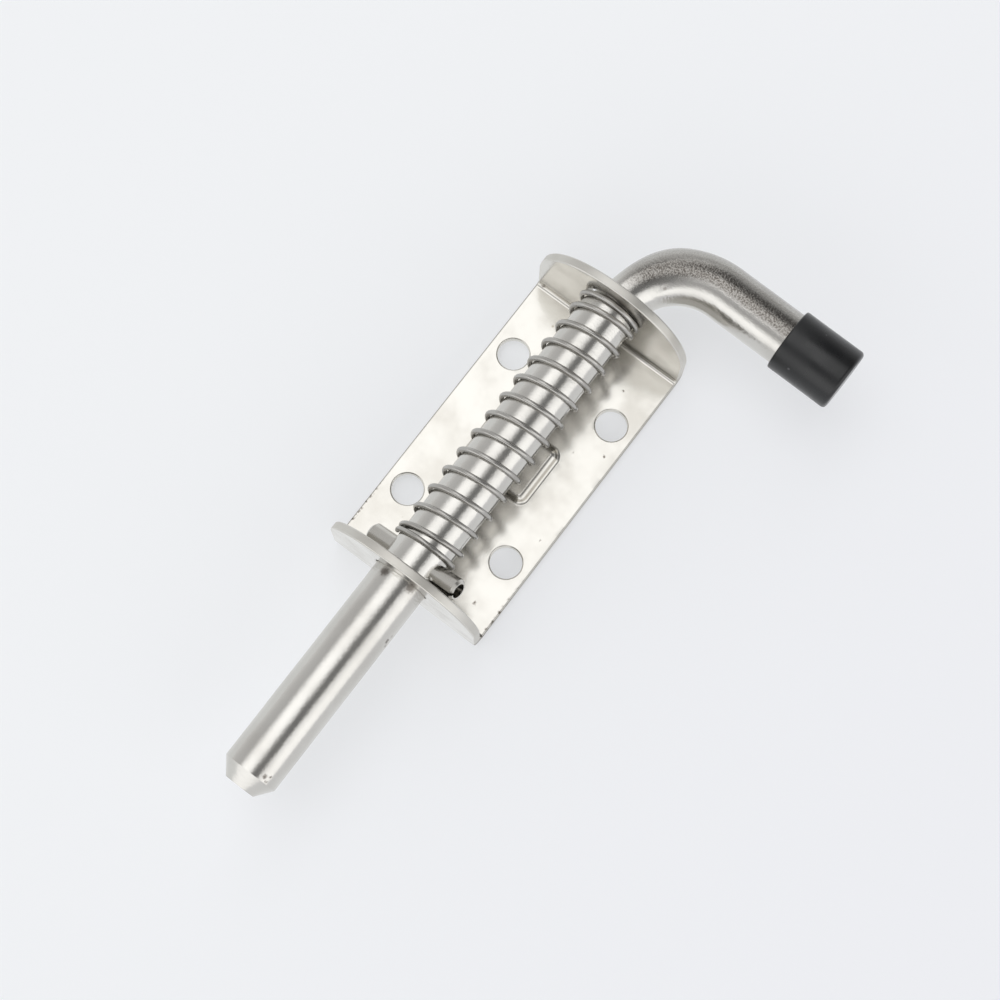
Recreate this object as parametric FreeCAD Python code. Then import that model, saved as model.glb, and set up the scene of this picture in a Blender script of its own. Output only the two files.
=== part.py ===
"""Spring loaded gate latch: a folded plate with two ears, and a sprung bolt that runs through them.

All sizes are in millimetres. The origin is the centre of the four screw holes, on the plate's back
face. +X is the way the bolt shoots, +Z leaves the mounting surface, and the handle points along +Y.
"""
import FreeCAD
import Part
import math
import os

V = FreeCAD.Vector
X_AXIS = V(1, 0, 0)
Y_AXIS = V(0, 1, 0)
Z_AXIS = V(0, 0, 1)

# Folded plate
plate_length = 73.0          # over the outer faces of the two ears
plate_width = 37.0
sheet = 2.0
fold_inner_radius = 1.0
ear_height = 30.0            # from the plate's back face to the top of an ear
ear_corner_radius = 18.0     # the rounded top corners of an ear
edge_break = 0.3             # the eased edge round an ear

# Screw holes
screw_hole_diameter = 6.8
screw_spacing_length = 37.0
screw_spacing_width = 26.0

# Raised pad, pressed up from the back
pad_length = 15.4
pad_width = 18.0
pad_height = 1.8
pad_corner_radius = 2.6
pad_shoulder_radius = 1.5
pad_wall = 1.4

# Bolt rod
rod_diameter = 12.0
rod_axis_height = 18.4       # from the plate's back face to the rod's centre line
rod_hole_clearance = 0.4     # radial, between the rod and each ear's hole
tip_reach = 51.5             # rest position, from the front ear's outer face to the tip
tip_chamfer_length = 3.4
tip_chamfer_depth = 2.6
bend_radius = 16.4           # of the rod's centre line
bend_angle = 91.0            # degrees
bend_inset = 1.4             # from the rear ear's outer face inwards to where the bend starts
handle_straight = 28.9       # from the end of the bend to the end of the rod

# Slotted spring pin, pressed through the rod
pin_diameter = 4.8
pin_length = 23.6
pin_wall = 0.8
pin_slit = 0.8
pin_slit_turn = 40.0         # degrees, the slit's turn round the pin, from forwards to upwards
pin_chamfer = 0.5
pin_tilt = 20.0              # degrees, the pin's turn out of the handle's plane
pin_seat_gap = 0.3           # between the pin and the front ear at rest

# Compression spring, round wire with closed ends
wire_diameter = 1.1
spring_inner_diameter = 12.3
spring_seat_gap = 0.1        # at each end of the spring
active_turns = 12.65
closed_turns_rear = 0.85     # against the rear ear
closed_turns_front = 1.0     # against the pin
closed_pitch_factor = 1.06   # pitch of the closed turns, in wire diameters
steps_per_turn = 20          # straight steps along the coil, which keep the model light
flat_count = 8               # flats round the wire

# Rubber cap on the handle
cap_diameter = 13.9
cap_length = 14.6
cap_end_wall = 1.6
cap_end_round = 0.9
cap_mouth_break = 0.4

# Cutting shapes
cut_margin = 1.0             # how far each end reaches past what it cuts

# Places that follow from the sizes
half_length = plate_length / 2
half_width = plate_width / 2
rod_radius = rod_diameter / 2
ear_hole_radius = rod_radius + rod_hole_clearance
tip_x = half_length + tip_reach
bend_start_x = -half_length + bend_inset
pin_radius = pin_diameter / 2
pin_x = half_length - sheet - pin_seat_gap - pin_radius
spring_start_x = -half_length + sheet + spring_seat_gap
spring_end_x = pin_x - pin_radius - spring_seat_gap
coil_radius = (spring_inner_diameter + wire_diameter) / 2


def folded_channel():
    """The sheet before trimming: a base and two upright legs, with round folds."""
    outer = fold_inner_radius + sheet
    top = ear_height
    outside = [V(-half_length, 0, top), V(-half_length, 0, 0), V(half_length, 0, 0), V(half_length, 0, top)]
    inside_x = half_length - sheet
    inside = [V(inside_x, 0, top), V(inside_x, 0, sheet), V(-inside_x, 0, sheet), V(-inside_x, 0, top)]
    section = Part.Face(Part.makePolygon(outside + inside + outside[:1]))
    block = section.extrude(V(0, plate_width, 0))
    block.translate(V(0, -half_width, 0))
    block = fillet_where(block, outer, lambda p: abs(p.z) < 0.01 and abs(abs(p.x) - half_length) < 0.01)
    return fillet_where(
        block, fold_inner_radius, lambda p: abs(p.z - sheet) < 0.01 and abs(abs(p.x) - inside_x) < 0.01)


def fillet_where(solid, radius, wanted):
    """Round every edge whose middle point is wanted."""
    edges = [edge for edge in solid.Edges if wanted(edge.valueAt(middle_parameter(edge)))]
    return solid.makeFillet(radius, edges)


def middle_parameter(edge):
    """The parameter halfway along an edge."""
    return (edge.FirstParameter + edge.LastParameter) / 2


def ear_outline():
    """A block with the front view of an ear: straight sides and round top corners."""
    corner = min(ear_corner_radius, half_width - edge_break)
    block = Part.makeBox(plate_length, plate_width, ear_height, V(-half_length, -half_width, 0))
    tops = [edge for edge in block.Edges if is_top_corner(edge)]
    return block.makeFillet(corner, tops)


def is_top_corner(edge):
    """True for the block's two top edges that run along X."""
    middle = edge.valueAt(middle_parameter(edge))
    along_x = abs(edge.tangentAt(middle_parameter(edge)).x) > 0.99
    return along_x and middle.z > ear_height / 2


def along_x(radius, start, end, height):
    """A cylinder along X at the given height above the back face."""
    return Part.makeCylinder(radius, end - start, V(start, 0, height), X_AXIS)


def rounded_block(length, width, height, corner):
    """A block on the back face, centred, with round upright corners."""
    block = Part.makeBox(length, width, height, V(-length / 2, -width / 2, 0))
    uprights = [edge for edge in block.Edges if abs(edge.tangentAt(middle_parameter(edge)).z) > 0.99]
    return block.makeFillet(corner, uprights)


def pad_and_pocket():
    """The raised pad with round shoulders, and the hollow that the punch leaves behind it."""
    top = sheet + pad_height
    pad = rounded_block(pad_length, pad_width, top, pad_corner_radius)
    shoulder = min(pad_shoulder_radius, 0.95 * pad_height)
    pad = fillet_where(pad, shoulder, lambda p: abs(p.z - top) < 0.01)
    inner_corner = max(pad_corner_radius - pad_wall, 0.3)
    pocket = rounded_block(pad_length - 2 * pad_wall, pad_width - 2 * pad_wall, pad_height, inner_corner)
    return pad, pocket


def screw_holes():
    """The four screw holes, as cutting cylinders."""
    holes = []
    for side_x in (-1, 1):
        for side_y in (-1, 1):
            centre = V(side_x * screw_spacing_length / 2, side_y * screw_spacing_width / 2, -sheet)
            holes.append(Part.makeCylinder(screw_hole_diameter / 2, 3 * sheet, centre, Z_AXIS))
    return holes


def rod_hole():
    """One cutting cylinder through both ears."""
    reach = half_length + cut_margin
    return along_x(ear_hole_radius, -reach, reach, rod_axis_height)


def eased_rims(plate):
    """Ease the edges of the ears' outlines, as the press leaves them."""
    rims = [edge for edge in plate.Edges if is_ear_rim(edge)]
    return plate.makeChamfer(edge_break, rims)


def is_ear_rim(edge):
    """True for an edge of an ear's outline, above the fold, on either face of the sheet."""
    box = edge.BoundBox
    flat_in_x = box.XLength < 0.01
    above_fold = box.ZMin > fold_inner_radius + sheet - 0.01
    is_rod_hole = isinstance(edge.Curve, Part.Circle) and abs(edge.Curve.Radius - ear_hole_radius) < 0.01
    return flat_in_x and above_fold and not is_rod_hole


def mounting_plate():
    """The folded sheet with its ears, pad and holes."""
    plate = folded_channel().common(ear_outline())
    pad, pocket = pad_and_pocket()
    plate = plate.fuse(pad).cut(pocket)
    plate = plate.cut(rod_hole())
    plate = eased_rims(plate.removeSplitter())
    return plate.cut(Part.makeCompound(screw_holes()))


def pin_direction():
    """The unit vector along the spring pin."""
    angle = math.radians(pin_tilt)
    return V(0, math.cos(angle), math.sin(angle))


def pin_cylinder(radius, length):
    """A cylinder centred on the rod's axis, along the spring pin."""
    direction = pin_direction()
    centre = V(pin_x, 0, rod_axis_height)
    return Part.makeCylinder(radius, length, centre - direction * (length / 2), direction)


def handle_axis(distance):
    """The point at a distance along the handle's centre line from the end of the bend, and its direction."""
    angle = math.radians(bend_angle)
    direction = V(-math.cos(angle), math.sin(angle), 0)
    bend_end = V(-math.sin(angle), 1 - math.cos(angle), 0) * bend_radius
    return V(bend_start_x, 0, rod_axis_height) + bend_end + direction * distance, direction


def bolt_rod():
    """The bar: chamfered tip, straight run, one bend and the handle, drilled for the pin."""
    straight_end = tip_x - tip_chamfer_length
    straight = along_x(rod_radius, bend_start_x, straight_end, rod_axis_height)
    tip_start = V(straight_end, 0, rod_axis_height)
    tip = Part.makeCone(rod_radius, rod_radius - tip_chamfer_depth, tip_chamfer_length, tip_start, X_AXIS)
    bend_start = V(bend_start_x, 0, rod_axis_height)
    disc = Part.Face(Part.Wire(Part.Circle(bend_start, X_AXIS, rod_radius).toShape()))
    bend_centre = V(bend_start_x, bend_radius, rod_axis_height)
    bend = disc.revolve(bend_centre, Z_AXIS, -bend_angle)
    handle_start, direction = handle_axis(0)
    handle = Part.makeCylinder(rod_radius, handle_straight, handle_start, direction)
    rod = straight.fuse([tip, bend, handle]).removeSplitter()
    return rod.cut(pin_cylinder(pin_radius, rod_diameter + 2 * cut_margin))


def spring_pin():
    """A rolled tube with one slit along it and both ends chamfered."""
    body = pin_cylinder(pin_radius, pin_length)
    body = body.makeChamfer(pin_chamfer, [edge for edge in body.Edges if edge.isClosed()])
    cut_length = pin_length + 2 * cut_margin
    bore = pin_cylinder(pin_radius - pin_wall, cut_length)
    direction = pin_direction()
    start = V(pin_x, 0, rod_axis_height) - direction * (cut_length / 2)
    slit = Part.makeBox(pin_diameter, pin_slit, cut_length, V(0, -pin_slit / 2, 0))
    slit.rotate(V(0, 0, 0), Z_AXIS, -pin_slit_turn)
    turned = FreeCAD.Placement(start, FreeCAD.Rotation(Z_AXIS, direction))
    slit.Placement = turned.multiply(slit.Placement)
    return body.cut(bore).cut(slit)


def spring_height(turn):
    """The wire's place along the coil after a number of turns: closed, open, then closed again."""
    low = closed_pitch_factor * wire_diameter
    closed = (closed_turns_rear + closed_turns_front) * low
    high = (spring_end_x - spring_start_x - wire_diameter - closed) / active_turns
    rear = min(turn, closed_turns_rear)
    front = max(turn - closed_turns_rear - active_turns, 0)
    return low * (rear + front) + high * (turn - rear - front)


def spring_point(turn):
    """The wire's centre after a number of turns, wound right-handed round the rod."""
    angle = 2 * math.pi * turn
    along = spring_start_x + wire_diameter / 2 + spring_height(turn)
    return V(along, coil_radius * math.cos(angle), rod_axis_height + coil_radius * math.sin(angle))


def compression_spring():
    """The coil, swept round the rod from the rear ear to the pin."""
    total = closed_turns_rear + active_turns + closed_turns_front
    count = round(total * steps_per_turn)
    points = [spring_point(total * index / count) for index in range(count + 1)]
    ring = Part.makeCircle(wire_diameter / 2, points[0], points[1] - points[0]).discretize(flat_count + 1)
    section = Part.makePolygon(ring[:-1] + ring[:1])
    mitred = 1
    return Part.makePolygon(points).makePipeShell([section], True, False, mitred)


def grip_cap():
    """The rubber cap, closed at the handle's end."""
    cavity = cap_length - cap_end_wall
    mouth, direction = handle_axis(handle_straight - cavity)
    blank = Part.makeCylinder(cap_diameter / 2, cap_length)
    ends = [edge for edge in blank.Edges if edge.isClosed()]
    blank = blank.makeFillet(cap_end_round, [edge for edge in ends if edge.BoundBox.ZMin > cap_length / 2])
    rims = [edge for edge in blank.Edges if edge.BoundBox.ZMax < 0.01]
    cap = blank.makeChamfer(cap_mouth_break, rims).cut(Part.makeCylinder(rod_radius, cavity))
    cap.Placement = FreeCAD.Placement(mouth, FreeCAD.Rotation(Z_AXIS, direction))
    return cap


PIECES = {
    "mounting_plate": mounting_plate,
    "bolt_rod": bolt_rod,
    "spring_pin": spring_pin,
    "compression_spring": compression_spring,
    "grip_cap": grip_cap,
}


def main():
    """Build every piece and write one file for each."""
    os.makedirs("parts", exist_ok=True)
    for name, build in PIECES.items():
        shape = build()
        print(name, "valid", shape.isValid(), "solids", len(shape.Solids), "volume", round(shape.Volume, 1))
        shape.exportStep("parts/" + name + ".step")


main()
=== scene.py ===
# %% [markdown]
# # A spring loaded gate latch
# A round bar slides through the two ears of a folded steel plate. A spring between the rear ear and a
# cross pin shoots the bar forward, and a bent handle with a rubber cap pulls it back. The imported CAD
# model fixes every size and every joint. This file only dresses it: finely made surfaces, finishes, a
# pale table, soft light and the camera of the photograph.

# %% Load the fixed frame
import bmesh
import bpy
import math
from mathutils import Matrix, Vector


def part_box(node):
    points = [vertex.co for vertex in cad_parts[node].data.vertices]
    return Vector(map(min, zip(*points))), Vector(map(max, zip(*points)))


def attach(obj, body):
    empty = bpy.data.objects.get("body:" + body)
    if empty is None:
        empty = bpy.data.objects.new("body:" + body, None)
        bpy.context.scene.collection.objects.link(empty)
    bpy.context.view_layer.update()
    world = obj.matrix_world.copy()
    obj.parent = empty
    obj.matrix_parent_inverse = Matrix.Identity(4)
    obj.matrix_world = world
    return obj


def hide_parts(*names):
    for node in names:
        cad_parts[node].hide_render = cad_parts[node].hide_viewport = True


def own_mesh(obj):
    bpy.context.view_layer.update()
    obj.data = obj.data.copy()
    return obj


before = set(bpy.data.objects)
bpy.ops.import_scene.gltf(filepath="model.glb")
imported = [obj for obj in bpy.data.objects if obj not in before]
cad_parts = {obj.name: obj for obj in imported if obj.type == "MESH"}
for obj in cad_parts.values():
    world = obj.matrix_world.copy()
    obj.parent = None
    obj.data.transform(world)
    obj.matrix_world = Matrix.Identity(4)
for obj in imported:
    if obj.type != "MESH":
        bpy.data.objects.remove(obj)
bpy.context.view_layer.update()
scene = bpy.context.scene
mm = 0.001

# %% [markdown]
# ## The camera
# The photograph looks steeply down on the latch. The camera's place and turn were fitted to the rod,
# the ears, the holes and the handle, so a render can be laid over the photograph.

# %% Camera
camera_data = bpy.data.cameras.new("camera")
camera_data.lens = 72.88
camera_data.sensor_width = 36.0
camera_data.clip_start = 0.01
camera = bpy.data.objects.new("camera", camera_data)
scene.collection.objects.link(camera)
right = Vector((-0.60429, 0.79675, 0.00364))
up = Vector((-0.77905, -0.59182, 0.20695))
back = Vector((0.16704, 0.12222, 0.97835))
turn = Matrix((right, up, back)).transposed().to_4x4()
camera.matrix_world = Matrix.Translation((0.07971, 0.05596, 0.41837)) @ turn
scene.camera = camera
print("camera looks along", [round(-value, 3) for value in back])

# %% [markdown]
# ## Sizes
# Every finely made piece below stands for a CAD node, so it takes its place from that node's box, and
# the few sizes that a box can't give are named here once, in millimetres.

# %% Sizes from the frame
plate_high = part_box("mounting_plate")[1]
rod_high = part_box("bolt_rod")[1]
spring_low, spring_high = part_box("compression_spring")
half_length = plate_high.x / mm
half_width = plate_high.y / mm
ear_height = plate_high.z / mm
rod_axis = (spring_low.z + spring_high.z) / 2 / mm
tip_x = rod_high.x / mm
rod_radius = 6.0
print("plate", 2 * half_length, "x", 2 * half_width, "mm, rod axis", round(rod_axis, 2), "mm up")

# %% [markdown]
# ## Hanging a piece on its body
# Each fine piece takes the place of one plain CAD piece. It rides on the body that the CAD piece moves
# with, so a joint carries it along.

# %% Helpers that make and hang a piece
def hang(piece, body, node):
    """Link a finished piece, let it ride on its body and replace its CAD node."""
    scene.collection.objects.link(piece)
    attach(piece, body)
    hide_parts(node)
    return piece


def latch_piece(name, points, faces, body, node):
    """Make a mesh from points in millimetres and hang it on its body."""
    mesh = bpy.data.meshes.new(name)
    mesh.from_pydata([Vector(point) * mm for point in points], [], faces)
    mesh.validate()
    return hang(bpy.data.objects.new(name, mesh), body, node)


def smooth(piece, angle):
    """Shade smoothly, but keep edges that turn by more than the angle, in degrees."""
    mesh = piece.data
    mesh.polygons.foreach_set("use_smooth", [True] * len(mesh.polygons))
    mesh.set_sharp_from_angle(angle=math.radians(angle))
    mesh.update()


# %% [markdown]
# ## Shared effects
# The metals share two things: fine marks that run one way, left by drawing and rolling, and a scatter
# of tiny specks and dents from handling. Each is one node group with named inputs, placed in every
# material with its own values. A group gives heights and masks only. The shader stays in the material.

# %% Helper that starts a node group
def group_tree(name, inputs, outputs):
    """An empty shader node group. Inputs are name, socket type and default; outputs are names."""
    tree = bpy.data.node_groups.new(name, "ShaderNodeTree")
    for label, kind, default in inputs:
        socket = tree.interface.new_socket(name=label, in_out="INPUT", socket_type=kind)
        socket.default_value = default
    for label in outputs:
        tree.interface.new_socket(name=label, in_out="OUTPUT", socket_type="NodeSocketFloat")
    return tree, tree.nodes.new("NodeGroupInput"), tree.nodes.new("NodeGroupOutput")


# %% Helpers that add one node each
def math_node(tree, operation, first, second=None, clamp=False):
    """One math node; a number or a socket may stand on either side."""
    node = tree.nodes.new("ShaderNodeMath")
    node.operation = operation
    node.use_clamp = clamp
    for index, value in enumerate((first, second)):
        if value is None:
            continue
        if isinstance(value, (int, float)):
            node.inputs[index].default_value = value
        else:
            tree.links.new(value, node.inputs[index])
    return node.outputs[0]


def noise_node(tree, vector, scale, detail=2.0, rough=0.5):
    """A noise texture's value, centred on one half."""
    node = tree.nodes.new("ShaderNodeTexNoise")
    node.inputs["Detail"].default_value = detail
    node.inputs["Roughness"].default_value = rough
    if isinstance(scale, (int, float)):
        node.inputs["Scale"].default_value = scale
    else:
        tree.links.new(scale, node.inputs["Scale"])
    tree.links.new(vector, node.inputs["Vector"])
    return node.outputs["Fac"]


def range_node(tree, value, low, high, to_low=0.0, to_high=1.0):
    """Map a value from one range to another, smoothly and without going past the ends."""
    node = tree.nodes.new("ShaderNodeMapRange")
    node.interpolation_type = "SMOOTHSTEP"
    for label, number in (("From Min", low), ("From Max", high), ("To Min", to_low), ("To Max", to_high)):
        node.inputs[label].default_value = number
    tree.links.new(value, node.inputs["Value"])
    return node.outputs["Result"]


print("node helpers ready")

# %% Drawn grain: fine marks along one direction
grain, grain_in, grain_out = group_tree(
    "drawn_grain",
    [("Vector", "NodeSocketVector", (0, 0, 0)), ("Stretch", "NodeSocketVector", (60, 1600, 1600)),
     ("Cloud Scale", "NodeSocketFloat", 90.0)],
    ["Lines", "Clouds"])
stretched = grain.nodes.new("ShaderNodeVectorMath")
stretched.operation = "MULTIPLY"
grain.links.new(grain_in.outputs["Vector"], stretched.inputs[0])
grain.links.new(grain_in.outputs["Stretch"], stretched.inputs[1])
grain.links.new(noise_node(grain, stretched.outputs[0], 1.0, 3.0, 0.6), grain_out.inputs["Lines"])
clouds = noise_node(grain, grain_in.outputs["Vector"], grain_in.outputs["Cloud Scale"], 3.0, 0.55)
grain.links.new(clouds, grain_out.inputs["Clouds"])
print("group", grain.name)

# %% Handling marks: sparse specks and soft dents
marks, marks_in, marks_out = group_tree(
    "handling_marks",
    [("Vector", "NodeSocketVector", (0, 0, 0)), ("Cell Scale", "NodeSocketFloat", 260.0),
     ("Share", "NodeSocketFloat", 0.12)],
    ["Specks", "Dents"])
cells = marks.nodes.new("ShaderNodeTexVoronoi")
cells.inputs["Randomness"].default_value = 1.0
marks.links.new(marks_in.outputs["Vector"], cells.inputs["Vector"])
marks.links.new(marks_in.outputs["Cell Scale"], cells.inputs["Scale"])
lottery = marks.nodes.new("ShaderNodeSeparateColor")
marks.links.new(cells.outputs["Color"], lottery.inputs[0])
chosen = math_node(marks, "LESS_THAN", lottery.outputs[0], marks_in.outputs["Share"])
near = range_node(marks, cells.outputs["Distance"], 0.06, 0.16, 1.0, 0.0)
marks.links.new(math_node(marks, "MULTIPLY", chosen, near), marks_out.inputs["Specks"])
dents = noise_node(marks, marks_in.outputs["Vector"], math_node(
    marks, "MULTIPLY", marks_in.outputs["Cell Scale"], 0.55), 1.0)
marks.links.new(range_node(marks, dents, 0.62, 0.8), marks_out.inputs["Dents"])
print("group", marks.name)

# %% [markdown]
# ## The metals
# All the steel here is stainless, so one recipe serves: a metallic shader whose roughness wanders a
# little, a bump made of the drawn grain and the dents, and a colour that darkens in the specks. What
# differs is the direction and strength of the grain and how polished the surface is.

# %% A steel material
def steel(name, colour, dark, roughness, spread, stretch, bump, cell_scale, share, cloud_scale):
    """A worn stainless finish.

    The colour turns dark in the specks and partly in the clouds, and the roughness wanders by spread
    either way. The larger a number in stretch, the finer the grain along that axis. bump is the
    grain's depth in millimetres, and share says how many of the cells hold a speck.
    """
    material = bpy.data.materials.new(name)
    material.use_nodes = True
    tree = material.node_tree
    shader = tree.nodes["Principled BSDF"]
    shader.inputs["Metallic"].default_value = 1.0
    place = tree.nodes.new("ShaderNodeTexCoord").outputs["Object"]
    drawn = tree.nodes.new("ShaderNodeGroup")
    drawn.node_tree = grain
    drawn.inputs["Stretch"].default_value = stretch
    drawn.inputs["Cloud Scale"].default_value = cloud_scale
    worn = tree.nodes.new("ShaderNodeGroup")
    worn.node_tree = marks
    worn.inputs["Cell Scale"].default_value = cell_scale
    worn.inputs["Share"].default_value = share
    for group in (drawn, worn):
        tree.links.new(place, group.inputs["Vector"])
    tone = tree.nodes.new("ShaderNodeMix")
    tone.data_type = "RGBA"
    tone.inputs["A"].default_value = (*colour, 1)
    tone.inputs["B"].default_value = (*dark, 1)
    cloudy = range_node(tree, drawn.outputs["Clouds"], 0.35, 0.75, 0.0, 0.35)
    mask = math_node(tree, "ADD", cloudy, worn.outputs["Specks"], True)
    tree.links.new(mask, tone.inputs["Factor"])
    tree.links.new(tone.outputs["Result"], shader.inputs["Base Color"])
    rough = range_node(tree, drawn.outputs["Clouds"], 0.3, 0.7, roughness - spread, roughness + spread)
    tree.links.new(rough, shader.inputs["Roughness"])
    height = math_node(tree, "SUBTRACT", drawn.outputs["Lines"], worn.outputs["Dents"])
    bumps = tree.nodes.new("ShaderNodeBump")
    bumps.inputs["Strength"].default_value = 1.0
    bumps.inputs["Distance"].default_value = bump * mm
    tree.links.new(height, bumps.inputs["Height"])
    tree.links.new(bumps.outputs["Normal"], shader.inputs["Normal"])
    print("material", name)
    return material


# %% Steel of the plate and of the bar
plate_steel = steel(
    "satin_plate_steel", colour=(0.622, 0.608, 0.572), dark=(0.46, 0.43, 0.38), roughness=0.19,
    spread=0.05, stretch=(330, 330, 330), bump=0.006, cell_scale=420.0, share=0.04, cloud_scale=110.0)
rod_steel = steel(
    "polished_rod_steel", colour=(0.60, 0.588, 0.56), dark=(0.45, 0.43, 0.40), roughness=0.19,
    spread=0.04, stretch=(1700, 900, 900), bump=0.034, cell_scale=300.0, share=0.03, cloud_scale=90.0)

# %% Steel of the spring's wire and of the pin
wire_steel = steel(
    "bright_wire_steel", colour=(0.44, 0.43, 0.41), dark=(0.30, 0.28, 0.26), roughness=0.28,
    spread=0.05, stretch=(900, 900, 900), bump=0.003, cell_scale=500.0, share=0.04, cloud_scale=300.0)
pin_steel = steel(
    "rolled_pin_steel", colour=(0.58, 0.565, 0.53), dark=(0.40, 0.38, 0.35), roughness=0.24,
    spread=0.05, stretch=(1200, 60, 200), bump=0.0015, cell_scale=400.0, share=0.04, cloud_scale=200.0)


# %% [markdown]
# ## Small dark marks
# A used latch has a few nicks that no even noise would put in the right place: specks on its tip and
# bend, and pits in the plate. Two dark spots where the bar passes into the front ear are painted shade,
# the shade of the hole's clearance round the bar. Each is a distance from one point, made ragged by
# noise, so a list of places is all that has to be kept.

# %% Small dark marks, each at a place of its own
def add_marks(material, spots, colour, edge=None, rims=None):
    """Darken the steel round each spot (x, y, z and radius in millimetres), with ragged rims.

    edge adds a mask that is darkened too, and rims adds a roughness; both are functions of the tree
    and the place.
    """
    tree = material.node_tree
    shader = tree.nodes["Principled BSDF"]
    place = tree.nodes.new("ShaderNodeTexCoord").outputs["Object"]
    ragged = math_node(tree, "MULTIPLY", noise_node(tree, place, 1900.0, 4.0, 0.7), 1.6 * mm)
    mask = edge(tree, place) if edge else 0.0
    for x, y, z, radius in spots:
        apart = tree.nodes.new("ShaderNodeVectorMath")
        apart.operation = "DISTANCE"
        tree.links.new(place, apart.inputs[0])
        apart.inputs[1].default_value = (x * mm, y * mm, z * mm)
        reach = math_node(tree, "ADD", apart.outputs["Value"], ragged)
        core = (radius * 0.3 + 0.75) * mm
        faded = (radius * 1.25 + 0.85) * mm
        spot = range_node(tree, reach, core, faded, 0.9, 0.0)
        mask = math_node(tree, "MAXIMUM", spot, mask)
    tone = tree.nodes.new("ShaderNodeMix")
    tone.data_type = "RGBA"
    tree.links.new(mask, tone.inputs["Factor"])
    tree.links.new(shader.inputs["Base Color"].links[0].from_socket, tone.inputs["A"])
    tone.inputs["B"].default_value = (*colour, 1)
    tree.links.new(tone.outputs["Result"], shader.inputs["Base Color"])
    if rims:
        rough = shader.inputs["Roughness"].links[0].from_socket
        tree.links.new(math_node(tree, "MAXIMUM", rough, rims(tree, place)), shader.inputs["Roughness"])
    print("marks added to", material.name, len(spots))


# %% [markdown]
# ## The sheet's cut edges
# A shear leaves a torn edge with burrs, and the blank's rims are rougher than its faces. The long side
# faces are also darkened, as painted shade. All of these lie at known places, so masks made from the
# coordinates find them.

# %% Masks for the cut edges
sheet = 2.0
ear_middle = half_length - sheet / 2
# How far the long side faces are darkened: painted shade.
side_face_shade = 0.45
edge_rough = 0.45


def split_place(tree, place):
    """The three coordinates of a place, as sockets."""
    split = tree.nodes.new("ShaderNodeSeparateXYZ")
    tree.links.new(place, split.inputs[0])
    return split.outputs


def side_band(tree, y, start, end, level=1.0):
    """Rises from zero to level between two distances inside the plate's long sides."""
    out = math_node(tree, "ABSOLUTE", y)
    return range_node(tree, out, (half_width - start) * mm, (half_width - end) * mm, 0.0, level)


def side_shade_and_burrs(tree, place):
    """The plate's long cut edges, darkened as painted shade, with ragged burrs towards the front ear."""
    x, y, z = split_place(tree, place)
    low = range_node(tree, z, 3.5 * mm, 4.5 * mm, 1.0, 0.0)
    # Painted shade on the outermost part of each long side.
    edge = math_node(tree, "MULTIPLY", side_band(tree, y, 0.2, 0.05, side_face_shade), low)
    torn = range_node(tree, noise_node(tree, place, 1100.0, 2.0), 0.5, 0.6)
    burrs = math_node(tree, "MULTIPLY", torn, side_band(tree, y, 0.8, 0.2))
    front = math_node(tree, "MULTIPLY", range_node(tree, x, 17.0 * mm, 27.0 * mm), low)
    return math_node(tree, "MAXIMUM", edge, math_node(tree, "MULTIPLY", burrs, front))


def rough_rims(tree, place):
    """Roughness of the sheet's cut edges: the ears' rims and the plate's long sides."""
    x, y, z = split_place(tree, place)
    from_middle = math_node(tree, "SUBTRACT", math_node(tree, "ABSOLUTE", x), ear_middle * mm)
    within = math_node(tree, "ABSOLUTE", from_middle)
    in_sheet = range_node(tree, within, 0.7 * mm, 0.9 * mm, 1.0, 0.0)
    above_fold = range_node(tree, z, 3.0 * mm, 4.0 * mm)
    ears = math_node(tree, "MULTIPLY", in_sheet, above_fold)
    rims = math_node(tree, "MAXIMUM", ears, side_band(tree, y, 0.3, 0.1))
    return math_node(tree, "MULTIPLY", rims, edge_rough)


print("ears' rims are found round x", round(ear_middle, 2), "mm")

# %% Put the marks on the plate and the bar
# Dark brown of the plate's pits, and of the painted shade on its long sides.
pit_and_side_shade_brown = (0.13, 0.11, 0.09)
bar_shade_and_nick_brown = (0.14, 0.125, 0.11)
add_marks(plate_steel, [
    (29.3, 12.9, 2.0, 0.35), (-26.1, 10.5, 2.0, 0.3), (-8.8, 10.1, 2.0, 0.2), (-12.1, 15.8, 2.0, 0.25),
    (10.4, 15.8, 2.0, 0.2), (-34.5, -16.9, 2.3, 0.5), (36.5, -13.7, 9.9, 0.25)],
    pit_and_side_shade_brown, side_shade_and_burrs, rough_rims)
# The first two spots, where the bar enters the front ear, are painted shade; the rest are nicks.
add_marks(rod_steel, [
    (37.6, -2.8, 23.7, 1.15), (37.0, 3.2, 23.4, 1.35), (48.1, 5.75, 20.2, 0.5), (48.9, 5.9, 19.4, 0.35),
    (83.5, 3.5, 23.3, 0.5), (84.2, 4.1, 22.5, 0.4), (82.9, 4.2, 22.6, 0.3)],
    bar_shade_and_nick_brown)


# %% [markdown]
# ## The rough skin and painted dark reflection of the bend
# Bending stretches the bar's outer side, and stretched steel looks like orange peel. The same upper and
# outer side is also painted a patchy brown-grey, a painted dark reflection. A point attribute, written
# when the bar is made, says where that is, so the same material is polished on the straight run and
# darker and rough on the bend.

# %% Rough skin and painted dark reflection
# The brown-grey of the painted dark reflection on the bend.
painted_reflection_brown = (0.12, 0.108, 0.097)
peel_depth = 0.05


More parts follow.
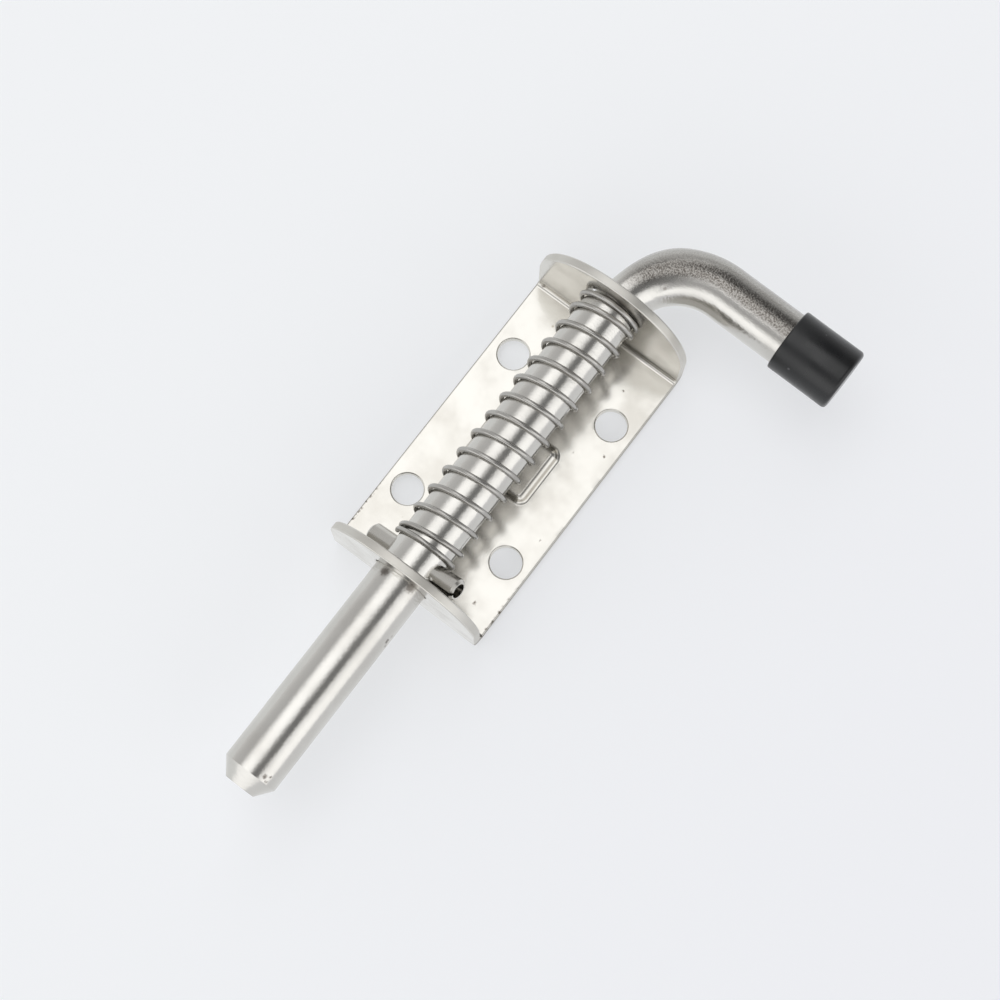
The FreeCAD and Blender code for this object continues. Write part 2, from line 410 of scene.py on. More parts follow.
def add_peel_and_reflection(material):
    """Where the bend's attribute is one, the steel gets a painted dark reflection in brown-grey and turns
    bumpy.
    """
    tree = material.node_tree
    shader = tree.nodes["Principled BSDF"]
    place = tree.nodes.new("ShaderNodeTexCoord").outputs["Object"]
    peel_and_reflection_mask = tree.nodes.new("ShaderNodeAttribute")
    peel_and_reflection_mask.attribute_name = "peel_and_reflection"
    peel = noise_node(tree, place, 2800.0, 2.0, 0.6)
    patchy = range_node(tree, peel, 0.36, 0.6, 1.0, 0.62)
    # Painted dark reflection: the colour darkens where the attribute is one.
    reflection_dark = math_node(tree, "MULTIPLY", peel_and_reflection_mask.outputs["Fac"], patchy)
    tone = tree.nodes.new("ShaderNodeMix")
    tone.data_type = "RGBA"
    tree.links.new(reflection_dark, tone.inputs["Factor"])
    tree.links.new(shader.inputs["Base Color"].links[0].from_socket, tone.inputs["A"])
    tone.inputs["B"].default_value = (*painted_reflection_brown, 1)
    tree.links.new(tone.outputs["Result"], shader.inputs["Base Color"])
    bumps = tree.nodes.new("ShaderNodeBump")
    bumps.inputs["Distance"].default_value = peel_depth * mm
    tree.links.new(math_node(tree, "MULTIPLY", peel, peel_and_reflection_mask.outputs["Fac"]), bumps.inputs["Height"])
    tree.links.new(shader.inputs["Normal"].links[0].from_socket, bumps.inputs["Normal"])
    tree.links.new(bumps.outputs["Normal"], shader.inputs["Normal"])
    print("rough skin added to", material.name)


add_peel_and_reflection(rod_steel)

# %% [markdown]
# ## The rubber
# Moulded rubber is nearly black and satin. Handling wipes it unevenly, so its roughness wanders, fine
# pores break up the highlight, and a few pale specks of dust use the same group as the steel's specks.

# %% Rubber
rubber = bpy.data.materials.new("satin_black_rubber")
rubber.use_nodes = True
rubber_tree = rubber.node_tree
rubber_shader = rubber_tree.nodes["Principled BSDF"]
rubber_place = rubber_tree.nodes.new("ShaderNodeTexCoord").outputs["Object"]
dust = rubber_tree.nodes.new("ShaderNodeGroup")
dust.node_tree = marks
dust.inputs["Cell Scale"].default_value = 420.0
dust.inputs["Share"].default_value = 0.05
rubber_tree.links.new(rubber_place, dust.inputs["Vector"])
rubber_tone = rubber_tree.nodes.new("ShaderNodeMix")
rubber_tone.data_type = "RGBA"
rubber_tone.inputs["A"].default_value = (0.0055, 0.006, 0.007, 1)
rubber_tone.inputs["B"].default_value = (0.07, 0.07, 0.075, 1)
rubber_tree.links.new(dust.outputs["Specks"], rubber_tone.inputs["Factor"])
rubber_tree.links.new(rubber_tone.outputs["Result"], rubber_shader.inputs["Base Color"])
print("dust added to", rubber.name)

# %% Where the rubber is wiped, and its pores
wiped = noise_node(rubber_tree, rubber_place, 160.0, 3.0)
satin = range_node(rubber_tree, wiped, 0.3, 0.7, 0.23, 0.36)
rubber_tree.links.new(satin, rubber_shader.inputs["Roughness"])
pores = rubber_tree.nodes.new("ShaderNodeBump")
pores.inputs["Distance"].default_value = 0.012 * mm
rubber_tree.links.new(noise_node(rubber_tree, rubber_place, 1800.0, 3.0), pores.inputs["Height"])
rubber_tree.links.new(pores.outputs["Normal"], rubber_shader.inputs["Normal"])
print("material", rubber.name)

# %% [markdown]
# ## The folded plate
# The real plate is a flat blank that a press cuts, punches and folds, so it is made the same way: a
# flat outline with its holes, a rounded rim round every edge, and then one function that lifts the
# pad and folds up the ears. Cuts across the folds and over the pad give the bends enough faces.

# %% Blank sizes
fold_inner = 1.0
ear_corner = 18.0
rim_round = 0.35
flat_end = half_length - fold_inner - sheet
fold_end = flat_end + (fold_inner + sheet / 2) * math.pi / 2
blank_end = fold_end + ear_height - fold_inner - sheet
screw_x = 18.5
screw_y = 13.0
screw_radius = 3.4
rod_clearance = 0.4
hole_places = [(x, y, screw_radius) for x in (-screw_x, screw_x) for y in (-screw_y, screw_y)]
ear_hole = fold_end + rod_axis - fold_inner - sheet
hole_places += [(side * ear_hole, 0.0, rod_radius + rod_clearance) for side in (-1, 1)]
print("blank is", round(2 * blank_end, 2), "mm long")

# %% Outlines of the blank and its holes
corner_steps = 30
hole_steps = 64


def arc(centre_u, centre_y, radius, start, end, steps):
    """Points on an arc, angles in degrees."""
    angles = [math.radians(start + (end - start) * index / steps) for index in range(steps + 1)]
    return [(centre_u + radius * math.cos(a), centre_y + radius * math.sin(a)) for a in angles]


def blank_outline(inset):
    """The blank's outline, moved inwards by an inset."""
    radius = ear_corner - inset
    far = blank_end - ear_corner
    side = half_width - ear_corner
    corners = [(far, side, 0), (-far, side, 90), (-far, -side, 180), (far, -side, 270)]
    points = []
    for u, y, start in corners:
        points += arc(u, y, radius, start, start + 90, corner_steps)
    return points


def hole_outline(place, inset):
    """A hole's outline, made wider by an inset, so that its rim is rounded as well."""
    u, y, radius = place
    return arc(u, y, radius + inset, 0, 360, hole_steps)[:-1]


print("outline points:", len(blank_outline(0)))

# %% Rounded rims
rim_steps = 4


def rim_profile():
    """Inset and height of the rim, from the back face round to the front face."""
    quarter = [math.pi / 2 * index / rim_steps for index in range(rim_steps + 1)]
    low = [(rim_round * (1 - math.sin(a)), rim_round * (1 - math.cos(a))) for a in quarter]
    return low + [(inset, sheet - height) for inset, height in reversed(low)]


def add_rim(work, outline, inwards):
    """Add one outline's rim as rings joined by faces; return the first and the last ring's edges."""
    rings = []
    for inset, height in rim_profile():
        rings.append([work.verts.new((u, y, height)) for u, y in outline(inset)])
    for lower, upper in zip(rings, rings[1:]):
        for index in range(len(lower)):
            after = (index + 1) % len(lower)
            quad = [lower[index], lower[after], upper[after], upper[index]]
            work.faces.new(quad if not inwards else quad[::-1])
    edges = []
    for ring in (rings[0], rings[-1]):
        edges.append([work.edges.get((ring[i], ring[(i + 1) % len(ring)])) for i in range(len(ring))])
    return edges


print("rim rounded in", len(rim_profile()), "rings")

# %% Cut the blank
blank = bmesh.new()
back_edges, front_edges = add_rim(blank, blank_outline, False)
for place in hole_places:
    back_ring, front_ring = add_rim(blank, lambda inset, at=place: hole_outline(at, inset), True)
    back_edges += back_ring
    front_edges += front_ring
for ring_edges in (back_edges, front_edges):
    bmesh.ops.triangle_fill(blank, use_beauty=True, edges=ring_edges)
print("blank faces before cutting:", len(blank.faces))

# %% Cut across the folds and over the pad
pad_length = 15.4
pad_width = 18.0
pad_height = 1.8
pad_corner = 2.6
pad_foot = 0.95
pad_shoulder = 1.48
pad_flank = 2.6
fold_cuts = 12
flank_cuts = 18


def cut(work, place, direction):
    """Split every face that crosses a plane."""
    parts = work.verts[:] + work.edges[:] + work.faces[:]
    bmesh.ops.bisect_plane(work, geom=parts, dist=1e-5, plane_co=place, plane_no=direction)


for side in (-1, 1):
    for index in range(fold_cuts + 1):
        cut(blank, (side * (flat_end + (fold_end - flat_end) * index / fold_cuts), 0, 0), (1, 0, 0))
for side in (-1, 1):
    for index in range(flank_cuts + 1):
        inward = pad_flank * index / flank_cuts
        cut(blank, (side * (pad_length / 2 - inward), 0, 0), (1, 0, 0))
        cut(blank, (0, side * (pad_width / 2 - inward), 0), (0, 1, 0))
print("blank faces after cutting:", len(blank.faces))


# %% Press the pad and fold the ears
def pad_rise(u, y):
    """How far the punch lifts the sheet: a foot arc and a shoulder arc round a flat top."""
    steep = math.acos(1 - pad_height / (pad_foot + pad_shoulder))
    over_u = abs(u) - (pad_length / 2 - pad_corner)
    over_y = abs(y) - (pad_width / 2 - pad_corner)
    inner = max(over_u, over_y)
    outside = math.hypot(max(over_u, 0), max(over_y, 0)) if inner > 0 else inner
    distance = pad_corner - outside
    if distance <= 0:
        return 0.0
    if distance < pad_foot * math.sin(steep):
        return pad_foot - math.sqrt(pad_foot ** 2 - distance ** 2)
    left = max((pad_foot + pad_shoulder) * math.sin(steep) - distance, 0)
    return pad_height - pad_shoulder + math.sqrt(pad_shoulder ** 2 - left ** 2)


def folded(point):
    """Carry a point of the flat blank to its place on the folded plate."""
    u, y, height = point
    side = 1 if u > 0 else -1
    reach = abs(u)
    if reach <= flat_end:
        return (u, y, height + pad_rise(u, y))
    if reach <= fold_end:
        angle = (reach - flat_end) / (fold_inner + sheet / 2)
        radius = fold_inner + sheet - height
        across = flat_end + radius * math.sin(angle)
        return (side * across, y, fold_inner + sheet - radius * math.cos(angle))
    return (side * (half_length - height), y, fold_inner + sheet + reach - fold_end)


# %% Make the plate's mesh
for vertex in blank.verts:
    vertex.co = Vector(folded(vertex.co)) * mm
bmesh.ops.dissolve_degenerate(blank, dist=1e-7, edges=blank.edges[:])
bmesh.ops.recalc_face_normals(blank, faces=blank.faces[:])
plate_mesh = bpy.data.meshes.new("folded_plate")
blank.to_mesh(plate_mesh)
blank.free()
plate = hang(bpy.data.objects.new("folded_plate", plate_mesh), "bracket", "mounting_plate")
plate_mesh.materials.append(plate_steel)
smooth(plate, 25)
weights = plate.modifiers.new("even_normals", "WEIGHTED_NORMAL")
weights.keep_sharp = True
print("plate faces:", len(plate_mesh.polygons))

# %% [markdown]
# ## The bolt
# The bolt is one bar: a chamfered tip, a straight run, a bend and the handle. A list of stations along
# its centre line, each with a radius, is joined ring to ring. The real bar is stretched where the
# bending tool pulled it round, so its outer side is a little flattened just behind the ear.

# %% Stations along the bar
bend_start = -35.1
bend_radius = 16.4
bend_angle = math.radians(91.0)
handle_straight = 28.9
tip_radius = 3.4
chamfer_length = 3.4
bar_sides = 96
print("bar cut to", round(tip_x - bend_start + bend_radius * bend_angle + handle_straight, 1), "mm")


# %% The bar's centre line
def station(distance):
    """Centre and inward direction at a distance behind the start of the bend."""
    angle = min(max(distance / bend_radius, 0), bend_angle)
    forward = Vector((-math.cos(angle), math.sin(angle), 0))
    inward = Vector((math.sin(angle), math.cos(angle), 0))
    centre = Vector((bend_start, 0, rod_axis))
    centre += Vector((-math.sin(angle), 1 - math.cos(angle), 0)) * bend_radius
    return centre + forward * (distance - angle * bend_radius), inward


print("the bend ends at", [round(value, 1) for value in station(bend_radius * bend_angle)[0]])

# %% [markdown]
# ## Where bending changed the bar
# Two soft steps do it: one flattens the outer side for a short way behind the ear, by less and less
# towards the bar's sides, and the other fades in the rough skin and the painted dark reflection from the
# start of the bend.

# %% Flattening of the outer side
dent_start = -3.0
dent_rise = 6.4
dent_end = 16.5
dent_fall = 13.0
dent_depth = 1.9


def soft_step(low, high, value):
    """Zero below low, one above high and a soft rise between."""
    share = min(max((value - low) / (high - low), 0), 1)
    return 3 * share ** 2 - 2 * share ** 3


def flattening(distance):
    """How far the outer side is pulled in, in millimetres, behind the ear."""
    rise = soft_step(dent_start, dent_start + dent_rise, distance)
    return dent_depth * rise * (1 - soft_step(dent_end - dent_fall, dent_end, distance))


print("flattened by up to", round(max(flattening(n / 10) for n in range(-50, 200)), 2), "mm")


# %% Rings round the bar and the skin between them
def bar_ring(distance, radius):
    """One ring of the bar's surface."""
    centre, inward = station(distance)
    pull = flattening(distance)
    ring = []
    for index in range(bar_sides):
        angle = 2 * math.pi * index / bar_sides
        out = -math.cos(angle)
        squeeze = pull * max(out, 0) ** 1.5
        ring.append(centre + inward * (radius * -out + squeeze) + Vector((0, 0, radius * math.sin(angle))))
    return ring


def skin(rings):
    """Join rings of equal length into a closed skin."""
    sides = len(rings[0])
    points = [point for ring in rings for point in ring]
    faces = []
    for level in range(len(rings) - 1):
        for index in range(sides):
            after = (index + 1) % sides
            low, high = level * sides, (level + 1) * sides
            faces.append((low + index, high + index, high + after, low + after))
    faces.append(tuple(range(sides)))
    faces.append(tuple(reversed(range((len(rings) - 1) * sides, len(rings) * sides))))
    return points, faces


# %% Where bending roughened the skin and the dark reflection is painted
def peel_and_reflection(distance, part_turn):
    """One where the bar's skin is rough and painted with a dark reflection: the upper and outer side, from
    the bend on.

    The angles are degrees from straight up, and less than zero lean to the outer side.
    """
    lean = (90 - 360 * part_turn + 180) % 360 - 180
    top = soft_step(-26, -11, lean) * (1 - soft_step(12, 23, lean))
    outer = 0.45 * soft_step(-120, -80, lean) * (1 - soft_step(-26, -11, lean))
    return soft_step(1.0, 9.0, distance) * (top + outer)


# %% Where the bar's rings stand
straight = tip_x - bend_start
bend_length = bend_radius * bend_angle
close_run = 6.0
close_pitch = 0.5
run_rings = 24
bend_rings = 64
handle_rings = 6
open_run = straight - chamfer_length - close_run
distances = [-straight, -straight + chamfer_length]
distances += [-straight + chamfer_length + open_run * n / run_rings for n in range(1, run_rings + 1)]
distances += [-close_run + close_pitch * n for n in range(1, round(close_run / close_pitch))]
distances += [bend_length * n / bend_rings for n in range(bend_rings + 1)]
distances += [bend_length + handle_straight * n / handle_rings for n in range(1, handle_rings + 1)]
print("rings along the bar:", len(distances))

# %% Make the bolt's mesh
rings = [bar_ring(distance, tip_radius if n == 0 else rod_radius) for n, distance in enumerate(distances)]
points, faces = skin(rings)
peel_and_reflection_values = [peel_and_reflection(distance, index / bar_sides)
               for distance in distances for index in range(bar_sides)]
bolt = latch_piece("bent_bolt", points, faces, "bolt", "bolt_rod")
bolt.data.materials.append(rod_steel)
# The attribute marks the rough skin and the painted dark reflection.
bolt.data.attributes.new("peel_and_reflection", "FLOAT", "POINT").data.foreach_set("value", peel_and_reflection_values)
smooth(bolt, 25)
print("bolt faces:", len(bolt.data.polygons))

# %% [markdown]
# ## The spring
# A coil is the plainest case of a shape that follows a rule, so Geometry Nodes make it: a line of
# points, a formula that winds them round the bar, and a round profile swept along. The turns are close
# together at both ends and open between, as on a real compression spring.

# %% A tree that winds a spring
spring_sizes = {
    "Wire Radius": 0.55, "Coil Radius": 6.7, "Rear Turns": 0.85, "Open Turns": 12.65, "Front Turns": 1.0,
    "Closed Pitch": 1.166, "Length": (spring_high.x - spring_low.x) / mm,
}
coil_tree = bpy.data.node_groups.new("wound_spring", "GeometryNodeTree")
coil_tree.interface.new_socket(name="Geometry", in_out="OUTPUT", socket_type="NodeSocketGeometry")
for label in spring_sizes:
    coil_tree.interface.new_socket(name=label, in_out="INPUT", socket_type="NodeSocketFloat")
coil_in = coil_tree.nodes.new("NodeGroupInput")
coil_out = coil_tree.nodes.new("NodeGroupOutput")
sizes = coil_in.outputs
print("spring inputs:", list(spring_sizes))

# %% A line of points, and the turn that each point is on
turns = math_node(coil_tree, "ADD", sizes["Rear Turns"], math_node(
    coil_tree, "ADD", sizes["Open Turns"], sizes["Front Turns"]))
points_per_turn = 40
all_turns = sum(value for label, value in spring_sizes.items() if label.endswith("Turns"))
total_points = round(points_per_turn * all_turns) + 1
line = coil_tree.nodes.new("GeometryNodeMeshLine")
line.inputs["Count"].default_value = total_points
curve = coil_tree.nodes.new("GeometryNodeMeshToCurve")
coil_tree.links.new(line.outputs["Mesh"], curve.inputs["Mesh"])
place_index = coil_tree.nodes.new("GeometryNodeInputIndex").outputs[0]
part_way = math_node(coil_tree, "DIVIDE", place_index, total_points - 1)
turn_now = math_node(coil_tree, "MULTIPLY", part_way, turns)
print("points along the wire:", total_points)

# %% How far along the bar each point lies
rear = math_node(coil_tree, "MINIMUM", turn_now, sizes["Rear Turns"])
past_open = math_node(coil_tree, "ADD", sizes["Rear Turns"], sizes["Open Turns"])
front = math_node(coil_tree, "MAXIMUM", math_node(coil_tree, "SUBTRACT", turn_now, past_open), 0.0)
closed = math_node(coil_tree, "ADD", rear, front)
closed_rise = math_node(coil_tree, "MULTIPLY", closed, sizes["Closed Pitch"])
closed_all = math_node(coil_tree, "MULTIPLY", math_node(
    coil_tree, "ADD", sizes["Rear Turns"], sizes["Front Turns"]), sizes["Closed Pitch"])
wire = math_node(coil_tree, "MULTIPLY", sizes["Wire Radius"], 2.0)
open_length = math_node(coil_tree, "SUBTRACT", math_node(
    coil_tree, "SUBTRACT", sizes["Length"], wire), closed_all)
open_pitch = math_node(coil_tree, "DIVIDE", open_length, sizes["Open Turns"])
open_rise = math_node(coil_tree, "MULTIPLY", math_node(
    coil_tree, "SUBTRACT", turn_now, closed), open_pitch)
along = math_node(coil_tree, "ADD", math_node(
    coil_tree, "ADD", closed_rise, open_rise), sizes["Wire Radius"])
print("closed ends and open middle set")

# %% Wind the points round the bar
angle = math_node(coil_tree, "MULTIPLY", turn_now, 2 * math.pi)
across = math_node(coil_tree, "MULTIPLY", math_node(coil_tree, "COSINE", angle), sizes["Coil Radius"])
above = math_node(coil_tree, "MULTIPLY", math_node(coil_tree, "SINE", angle), sizes["Coil Radius"])
spot = coil_tree.nodes.new("ShaderNodeCombineXYZ")
for axis, value in enumerate((along, across, above)):
    coil_tree.links.new(value, spot.inputs[axis])
wind = coil_tree.nodes.new("GeometryNodeSetPosition")
coil_tree.links.new(curve.outputs["Curve"], wind.inputs["Geometry"])
coil_tree.links.new(spot.outputs[0], wind.inputs["Position"])
print("points wound round the bar")

# %% Sweep the wire
wire_sides = 16
ring = coil_tree.nodes.new("GeometryNodeCurvePrimitiveCircle")
ring.inputs["Resolution"].default_value = wire_sides
coil_tree.links.new(sizes["Wire Radius"], ring.inputs["Radius"])
sweep = coil_tree.nodes.new("GeometryNodeCurveToMesh")
sweep.inputs["Fill Caps"].default_value = True
coil_tree.links.new(wind.outputs["Geometry"], sweep.inputs["Curve"])
coil_tree.links.new(ring.outputs["Curve"], sweep.inputs["Profile Curve"])
real = coil_tree.nodes.new("GeometryNodeRealizeInstances")
coil_tree.links.new(sweep.outputs["Mesh"], real.inputs["Geometry"])
paint = coil_tree.nodes.new("GeometryNodeSetMaterial")
paint.inputs["Material"].default_value = wire_steel
coil_tree.links.new(real.outputs["Geometry"], paint.inputs["Geometry"])
coil_tree.links.new(paint.outputs["Geometry"], coil_out.inputs["Geometry"])
print("spring tree has", len(coil_tree.nodes), "nodes")

# %% Wind it and make it a plain mesh
holder = bpy.data.objects.new("spring_holder", bpy.data.meshes.new("spring_holder"))
scene.collection.objects.link(holder)
winder = holder.modifiers.new("wind", "NODES")
winder.node_group = coil_tree
for item in coil_tree.interface.items_tree:
    if item.item_type == "SOCKET" and item.in_out == "INPUT":
        winder[item.identifier] = float(spring_sizes[item.name])
bpy.context.view_layer.update()
wound = holder.evaluated_get(bpy.context.evaluated_depsgraph_get())
spring_mesh = bpy.data.meshes.new_from_object(wound)
bpy.data.objects.remove(holder)
spring_mesh.transform(Matrix.Translation((spring_low.x, 0, rod_axis * mm)) @ Matrix.Scale(mm, 4))
spring = hang(bpy.data.objects.new("coil_spring", spring_mesh),
              "spring", "compression_spring")
smooth(spring, 40)
print("spring faces:", len(spring_mesh.polygons))

# %% [markdown]
# ## The spring pin
# A slotted pin is a strip rolled into a tube with one slit. Its section is an open ring, swept straight
# through the bolt, with both ends turned down to a small chamfer.

# %% Roll the pin
pin_length = 23.6
pin_outer = 2.4
pin_wall = 0.8
pin_slit = 0.8
pin_chamfer = 0.5
pin_steps = 48
pin_gap = 0.3
pin_tilt = math.radians(20.0)
slit_turn = math.radians(40.0)
pin_x = half_length - sheet - pin_gap - pin_outer
pin_along = Vector((0, math.cos(pin_tilt), math.sin(pin_tilt)))
pin_side = Vector((1, 0, 0))
pin_up = pin_along.cross(pin_side)
pin_side, pin_up = (pin_side * math.cos(slit_turn) - pin_up * math.sin(slit_turn),
                    pin_side * math.sin(slit_turn) + pin_up * math.cos(slit_turn))
print("pin through the bar at x", round(pin_x, 2), "mm")


# %% Section of the pin
def pin_ring(distance, drop):
    """The open section of the pin: round the outside, then back round the inside."""
    half_gap = math.asin(pin_slit / 2 / pin_outer)
    ring = []
    round_out = range(pin_steps + 1)
    for radius, order in ((pin_outer - drop, round_out), (pin_outer - pin_wall, reversed(round_out))):
        for index in order:
            angle = half_gap + (2 * math.pi - 2 * half_gap) * index / pin_steps
            out = pin_side * math.cos(angle) + pin_up * math.sin(angle)
            ring.append(Vector((pin_x, 0, rod_axis)) + pin_along * distance + out * radius)
    return ring


# %% Make the pin's mesh
half_pin = pin_length / 2
pin_rings = [pin_ring(-half_pin, pin_chamfer), pin_ring(-half_pin + pin_chamfer, 0),
             pin_ring(half_pin - pin_chamfer, 0), pin_ring(half_pin, pin_chamfer)]
points, faces = skin(pin_rings)
pin = latch_piece("slotted_pin", points, faces, "bolt", "spring_pin")
pin_work = bmesh.new()
pin_work.from_mesh(pin.data)
bmesh.ops.triangulate(pin_work, faces=[face for face in pin_work.faces if len(face.verts) > 4])
bmesh.ops.recalc_face_normals(pin_work, faces=pin_work.faces[:])
pin_work.to_mesh(pin.data)
pin_work.free()
pin.data.materials.append(pin_steel)
smooth(pin, 30)
print("pin faces:", len(pin.data.polygons))

# %% [markdown]
# ## The rubber cap
# The cap is a moulded cup pushed over the handle's end. Any round shape can be made by spinning one
# profile, so the profile starts just inside the mouth, rounds its lip, runs straight along the side and
# rounds over the closed end.

# %% The cap's sizes and profile
cap_outer = 6.95
cap_length = 14.6
cap_end_wall = 1.6
cap_round = 0.9
mouth_round = 0.4
mouth_depth = 0.8
mouth_grip = 0.02
mouth_gap = 0.05
mouth_steps = 4
end_steps = 8
end_centre = 2.0
cap_start = bend_length + handle_straight + cap_end_wall - cap_length


def cap_profile():
    """Distance along the handle and radius, from the mouth's inside round to the closed end."""
    profile = [(mouth_depth, rod_radius + mouth_grip), (0.0, rod_radius + mouth_gap),
               (0.0, cap_outer - mouth_round - mouth_gap)]
    for index in range(mouth_steps + 1):
        a = math.pi / 2 * index / mouth_steps
        profile.append((mouth_round - mouth_round * math.cos(a),
                        cap_outer - mouth_round + mouth_round * math.sin(a)))
    reach = cap_length - cap_round
    for index in range(end_steps + 1):
        a = math.pi / 2 * index / end_steps
        profile.append((reach + cap_round * math.sin(a), cap_outer - cap_round + cap_round * math.cos(a)))
    profile.append((cap_length, end_centre))
    return profile


def cap_ring(distance, radius):
    """A ring round the handle's axis."""
    centre, inward = station(cap_start + distance)
    angles = [2 * math.pi * index / bar_sides for index in range(bar_sides)]
    return [centre + inward * radius * math.cos(a) + Vector((0, 0, radius * math.sin(a))) for a in angles]


print("cap profile has", len(cap_profile()), "points")

# %% Spin the cap
points, faces = skin([cap_ring(*spot) for spot in cap_profile()])
cap = latch_piece("grip", points, faces, "bolt", "grip_cap")
cap.data.materials.append(rubber)
smooth(cap, 40)
print("cap faces:", len(cap.data.polygons))

# %% [markdown]
# ## Table and light
# A pale table fills the view and glows a little, so the background stays pale while the latch still
# throws its shadow. Polished steel shows what stands round it, so the lamps matter more than the metal.
# Soft boxes could be made as glowing panels, but here the world itself holds them: one ramp of
# brightness by the angle across the bar, whose steps become the bar's bright and dark stripes, and one
# by the angle along it, which does the same for the handle. The table lies a hair below the plate, so
# the two faces never fight for the same place.

# %% Table
table_mesh = bpy.data.meshes.new("table")
table_half = 3.0
table_drop = -0.03 * mm
table_corners = [(x * table_half, y * table_half, table_drop)
                 for x, y in ((-1, -1), (1, -1), (1, 1), (-1, 1))]
table_mesh.from_pydata(table_corners, [], [(0, 1, 2, 3)])
table = bpy.data.objects.new("table", table_mesh)
scene.collection.objects.link(table)
print("table is", 2 * table_half, "m wide")

# %% Its pale, faintly glowing surface
table_material = bpy.data.materials.new("pale_table")
table_material.use_nodes = True
table_tree = table_material.node_tree
table_shader = table_tree.nodes["Principled BSDF"]
table_shader.inputs["Base Color"].default_value = (0.87, 0.885, 0.93, 1)
table_shader.inputs["Roughness"].default_value = 0.9
print("material", table_material.name)

# %% Its glow, with painted shade that deepens towards the table's +y side
glow = table_tree.nodes.new("ShaderNodeEmission")
table_place = table_tree.nodes.new("ShaderNodeSeparateXYZ")
table_tree.links.new(table_tree.nodes.new("ShaderNodeTexCoord").outputs["Object"], table_place.inputs[0])
table_tone = table_tree.nodes.new("ShaderNodeMix")
table_tone.data_type = "RGBA"
table_tone.inputs["A"].default_value = (0.985, 1.0, 1.0, 1)
table_tone.inputs["B"].default_value = (0.93, 0.935, 0.96, 1)
tone_start, tone_end = -0.08, 0.16
painted_table_shade = range_node(table_tree, table_place.outputs[1], tone_start, tone_end)
table_tree.links.new(painted_table_shade, table_tone.inputs["Factor"])
table_tree.links.new(table_tone.outputs["Result"], glow.inputs["Color"])
print("glow runs from y", tone_start, "to", tone_end, "m")

# %% How much of the glow the camera and the steel see
seen_glow = 0.5
mirrored_glow = 0.85
paths = table_tree.nodes.new("ShaderNodeLightPath").outputs
straight_on = math_node(table_tree, "MULTIPLY", math_node(
    table_tree, "ADD", paths["Is Camera Ray"], paths["Is Transmission Ray"], True), seen_glow)
mirrored = math_node(table_tree, "MULTIPLY", paths["Is Glossy Ray"], mirrored_glow)
glow_share = math_node(table_tree, "MAXIMUM", straight_on, mirrored)
table_mix = table_tree.nodes.new("ShaderNodeMixShader")
table_tree.links.new(glow_share, table_mix.inputs["Fac"])
table_tree.links.new(table_shader.outputs[0], table_mix.inputs[1])
table_tree.links.new(glow.outputs[0], table_mix.inputs[2])
print("glow mixed in by the kind of ray")

# %% From below the table is clear, so the latch's back can be looked at
below = table_tree.nodes.new("ShaderNodeMixShader")
table_tree.links.new(table_tree.nodes.new("ShaderNodeNewGeometry").outputs["Backfacing"], below.inputs["Fac"])
table_tree.links.new(table_mix.outputs[0], below.inputs[1])
table_tree.links.new(table_tree.nodes.new("ShaderNodeBsdfTransparent").outputs[0], below.inputs[2])
table_tree.links.new(below.outputs[0], table_tree.nodes["Material Output"].inputs["Surface"])
table_mesh.materials.append(table_material)
print("table surface ready")

# %% A world of soft boxes
world = bpy.data.worlds.new("studio")
scene.world = world
world.use_nodes = True
sky = world.node_tree
sky_gain = 1.1
direction = sky.nodes.new("ShaderNodeSeparateXYZ")
sky.links.new(sky.nodes.new("ShaderNodeTexCoord").outputs["Generated"], direction.inputs[0])
toward_x, toward_y, toward_z = direction.outputs


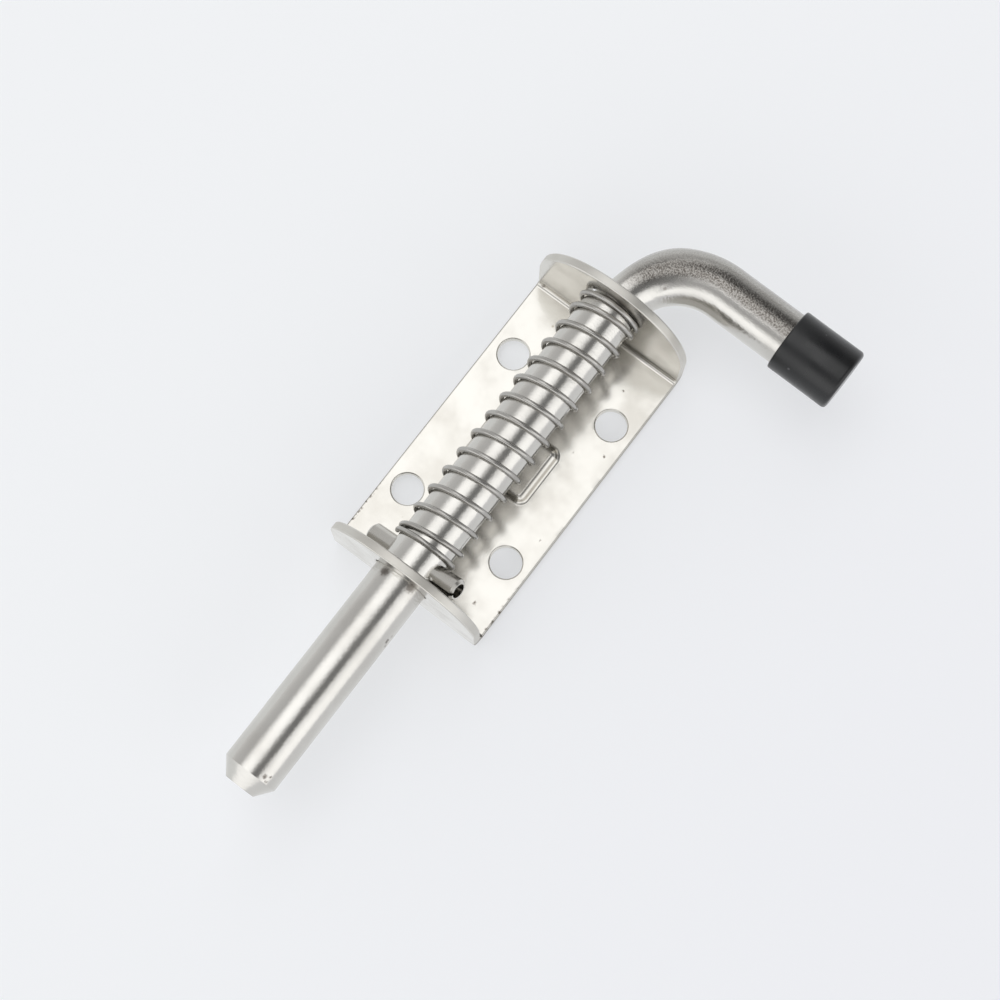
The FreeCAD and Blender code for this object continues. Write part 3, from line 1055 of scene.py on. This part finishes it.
def sky_ramp(first, stops):
    """Brightness by the angle from straight up; stops are degrees and brightness.

    A ramp holds nothing above one, so it stores half the brightness and the result is doubled.
    """
    ramp = sky.nodes.new("ShaderNodeValToRGB")
    elements = ramp.color_ramp.elements
    while len(elements) < len(stops):
        elements.new(0.5)
    for element, (degrees, level) in zip(elements, stops):
        element.position = 0.5 + degrees / 180
        element.color = (level / 2, level / 2, level / 2, 1)
    turned = math_node(sky, "ARCTAN2", first, toward_z)
    sky.links.new(math_node(sky, "ADD", math_node(sky, "DIVIDE", turned, math.pi), 0.5), ramp.inputs["Fac"])
    return math_node(sky, "MULTIPLY", ramp.outputs["Color"], 2 * sky_gain)


across_ramp = sky_ramp(toward_y, [
    (-90, 0.8), (-70, 0.65), (-44, 0.57), (-36, 0.95), (-28, 1.4), (-18, 1.55), (-4, 1.5), (5, 1.25),
    (12, 0.68), (20, 0.23), (37, 0.2), (45, 1.0), (58, 1.35), (68, 1.5), (90, 1.42)])
along_ramp = sky_ramp(toward_x, [
    (-90, 0.65), (-72, 0.5), (-57, 0.2), (-40, 0.16), (-26, 0.22), (-12, 0.5), (28, 0.5), (37, 0.46),
    (44, 0.56), (52, 0.98), (59, 1.38), (67, 1.46), (75, 1.38), (82, 1.27), (90, 1.15)])
print("sky ramps made")

# %% Blend the two ramps and keep the far horizon pale for the camera
ahead = range_node(sky, toward_x, 0.25, 0.50)
behind = math_node(sky, "MULTIPLY", range_node(
    sky, toward_x, -0.50, -0.25, 1.0, 0.0), range_node(sky, toward_y, -0.4, -0.1))
ends = math_node(sky, "ADD", ahead, behind, True)
blend = sky.nodes.new("ShaderNodeMix")
sky.links.new(ends, blend.inputs["Factor"])
sky.links.new(across_ramp, blend.inputs["A"])
sky.links.new(along_ramp, blend.inputs["B"])
seen = sky.nodes.new("ShaderNodeLightPath").outputs["Is Camera Ray"]
camera_level = 0.9
level = sky.nodes.new("ShaderNodeMix")
sky.links.new(seen, level.inputs["Factor"])
sky.links.new(blend.outputs["Result"], level.inputs["A"])
level.inputs["B"].default_value = camera_level
sky.links.new(level.outputs["Result"], sky.nodes["Background"].inputs["Strength"])
sky.nodes["Background"].inputs["Color"].default_value = (1, 1, 1, 1)
scene.view_settings.view_transform = "Standard"
print("world ready")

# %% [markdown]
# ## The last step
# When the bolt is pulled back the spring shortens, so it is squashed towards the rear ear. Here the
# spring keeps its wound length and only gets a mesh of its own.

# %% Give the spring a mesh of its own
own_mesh(spring)
